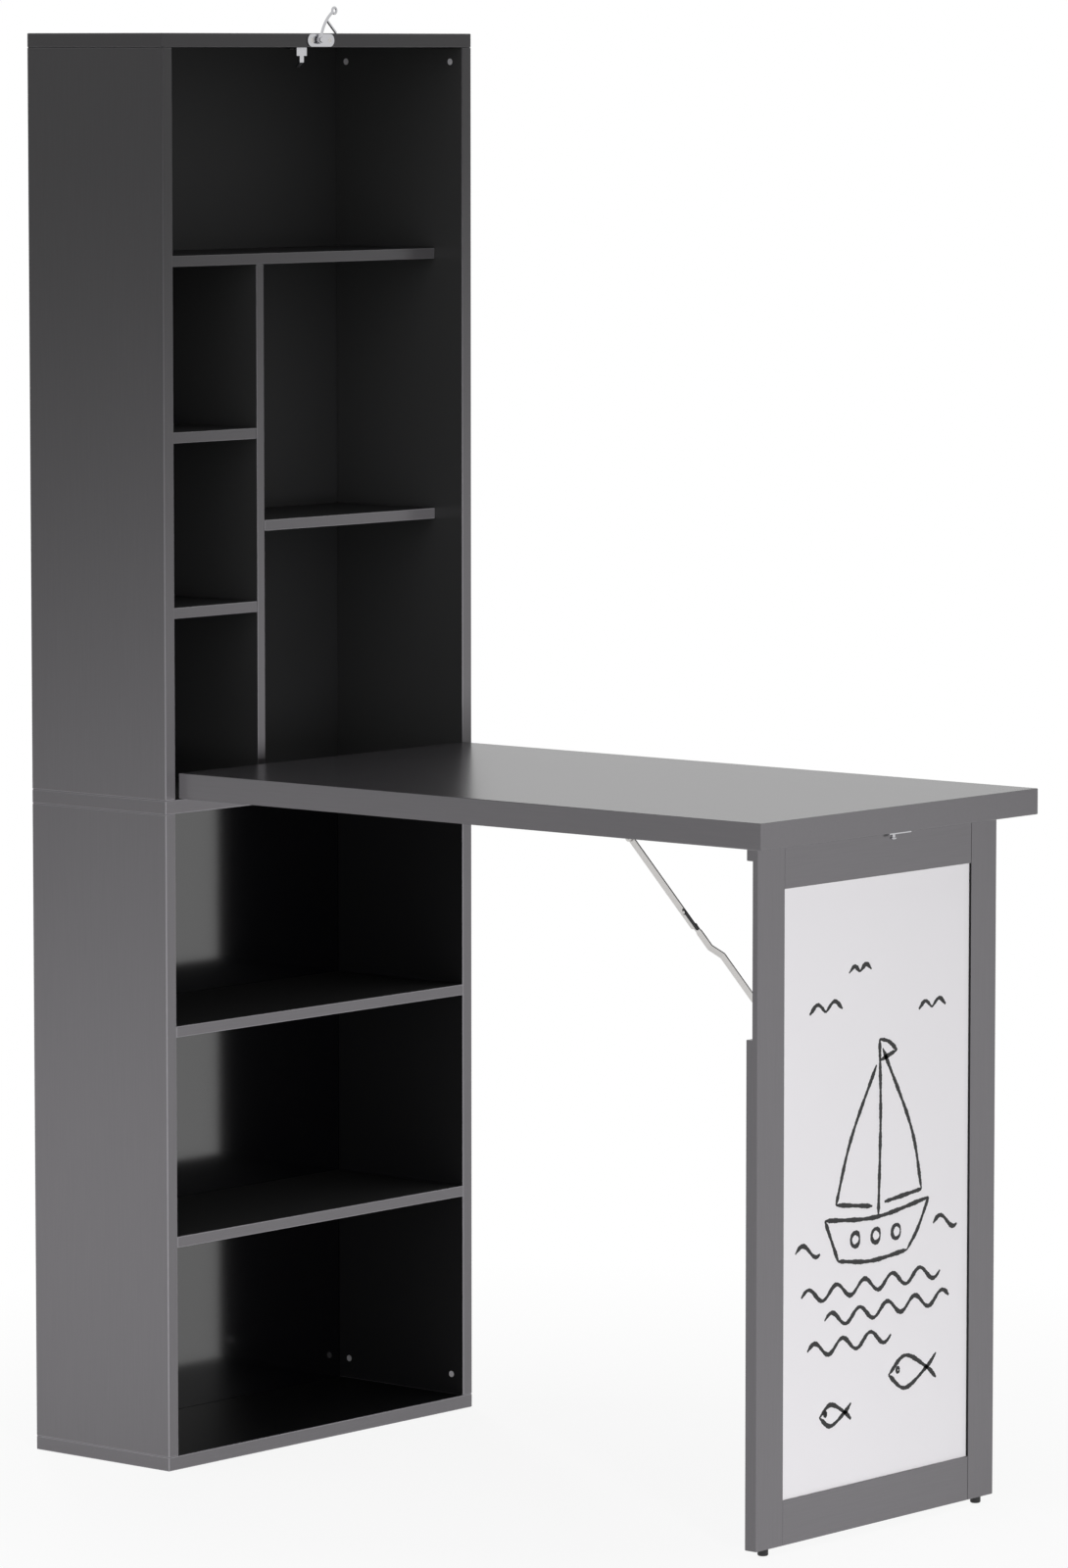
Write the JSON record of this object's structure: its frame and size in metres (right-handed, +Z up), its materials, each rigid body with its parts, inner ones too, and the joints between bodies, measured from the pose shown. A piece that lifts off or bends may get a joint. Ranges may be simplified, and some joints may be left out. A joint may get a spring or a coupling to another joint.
{
  "type": "folding desk",
  "caption": "Slim bookcase with a desk board that folds down on hinges and stands on a framed whiteboard leg, with folding stays and a hook latch.",
  "frame": {"origin": "middle of the cabinet's footprint, on the floor", "axes": "+Z up; the open front and the desk board look towards -Y; +X to the right seen from behind the desk's front end towards the cabinet"},
  "size_m": [0.492, 0.9835, 1.5487],
  "materials": {
    "grey_melamine": "dark grey melamine on chipboard, satin",
    "dark_hardboard": "dark lacquered hardboard, glossy",
    "beech": "plain beech dowel",
    "white_laminate": "glossy white marker board",
    "chrome": "bright plated",
    "zinc_steel": "zinc plated, satin",
    "black_plastic": "moulded, matt"
  },
  "bodies": {
    "cabinet": {"barrel_nuts": "zinc_steel", "bottom_board": "grey_melamine", "cabinet_screws": "zinc_steel", "corner_bolts": "zinc_steel", "desk_hinge_fixed_leaf_left": "zinc_steel", "desk_hinge_fixed_leaf_right": "zinc_steel", "desk_hinge_pins": "zinc_steel", "desk_stop": "chrome", "divider": "grey_melamine", "latch_plate": "chrome", "latch_rivet": "chrome", "left_shelf_first": "grey_melamine", "left_shelf_second": "grey_melamine", "lower_back_panel": "dark_hardboard", "lower_left_side": "grey_melamine", "lower_right_side": "grey_melamine", "lower_shelf_first": "grey_melamine", "lower_shelf_second": "grey_melamine", "middle_board": "grey_melamine", "middle_dowels": "beech", "right_shelf": "grey_melamine", "shelf_dowels": "beech", "top_board": "grey_melamine", "upper_back_panel": "dark_hardboard", "upper_left_side": "grey_melamine", "upper_right_side": "grey_melamine", "upper_shelf": "grey_melamine"},
    "desk": {"catch_plate": "chrome", "catch_post": "chrome", "desk_hinge_moving_leaf_left": "zinc_steel", "desk_hinge_moving_leaf_right": "zinc_steel", "desk_screws": "zinc_steel", "desk_top": "grey_melamine", "leg_hinge_desk_leaf_left": "zinc_steel", "leg_hinge_desk_leaf_right": "zinc_steel", "leg_hinge_pins": "zinc_steel", "stay_desk_bracket_left": "zinc_steel", "stay_desk_bracket_right": "zinc_steel", "stay_desk_pins": "zinc_steel"},
    "leg": {"leg_bottom_rail": "grey_melamine", "leg_feet": "black_plastic", "leg_hinge_leg_leaf_left": "zinc_steel", "leg_hinge_leg_leaf_right": "zinc_steel", "leg_left_stile": "grey_melamine", "leg_right_stile": "grey_melamine", "leg_screws": "zinc_steel", "leg_top_rail": "grey_melamine", "stay_leg_bracket_left": "zinc_steel", "stay_leg_bracket_right": "zinc_steel", "stay_leg_pins": "zinc_steel", "whiteboard": "white_laminate"},
    "hook": {"latch_hook": "chrome"},
    "stay_lower_left": {"stay_lower_link_left": "zinc_steel"},
    "stay_lower_right": {"stay_lower_link_right": "zinc_steel"},
    "stay_release_left": {"stay_release_lever_left": "black_plastic"},
    "stay_release_right": {"stay_release_lever_right": "black_plastic"},
    "stay_upper_left": {"stay_upper_link_left": "zinc_steel"},
    "stay_upper_right": {"stay_upper_link_right": "zinc_steel"}
  },
  "joints": [
    {"name": "desk_fold", "type": "hinge", "parent": "cabinet", "child": "desk", "pos_m": [0, -0.09975, 0.71675], "axis": [-1, 0, 0], "range_deg": [0, 90]},
    {"name": "leg_fold", "type": "hinge", "parent": "desk", "child": "leg", "pos_m": [0, -0.84, 0.716], "axis": [1, 0, 0], "range_deg": [0, 90]},
    {"name": "stay_upper_left", "type": "hinge", "parent": "desk", "child": "stay_upper_left", "pos_m": [-0.173, -0.672, 0.7115], "axis": [1, 0, 0], "range_deg": [-45.6, 0]},
    {"name": "stay_lower_left", "type": "hinge", "parent": "leg", "child": "stay_lower_left", "pos_m": [-0.161, -0.8445, 0.536], "axis": [1, 0, 0], "range_deg": [0, 44.6]},
    {"name": "stay_release_left", "type": "hinge", "parent": "stay_upper_left", "child": "stay_release_left", "pos_m": [-0.1751, -0.74454, 0.64112], "axis": [1, 0, 0], "range_deg": [0, 5], "stiffness_Nm_per_rad": 0.05, "springref_deg": -17.19},
    {"name": "stay_upper_right", "type": "hinge", "parent": "desk", "child": "stay_upper_right", "pos_m": [0.173, -0.672, 0.7115], "axis": [1, 0, 0], "range_deg": [-45.6, 0]},
    {"name": "stay_lower_right", "type": "hinge", "parent": "leg", "child": "stay_lower_right", "pos_m": [0.161, -0.8445, 0.536], "axis": [1, 0, 0], "range_deg": [0, 44.6]},
    {"name": "stay_release_right", "type": "hinge", "parent": "stay_upper_right", "child": "stay_release_right", "pos_m": [0.1751, -0.74454, 0.64112], "axis": [1, 0, 0], "range_deg": [0, 5], "stiffness_Nm_per_rad": 0.05, "springref_deg": -17.19},
    {"name": "hook_turn", "type": "hinge", "parent": "cabinet", "child": "hook", "pos_m": [-0.004, -0.1025, 1.513], "axis": [0, 1, 0], "range_deg": [0, 118]}
  ],
  "couplings": [
    {"joint": "stay_upper_left", "follows": "leg_fold", "ratio": -0.50549},
    {"joint": "stay_lower_left", "follows": "leg_fold", "ratio": 0.49451},
    {"joint": "stay_upper_right", "follows": "leg_fold", "ratio": -0.50549},
    {"joint": "stay_lower_right", "follows": "leg_fold", "ratio": 0.49451}
  ]
}
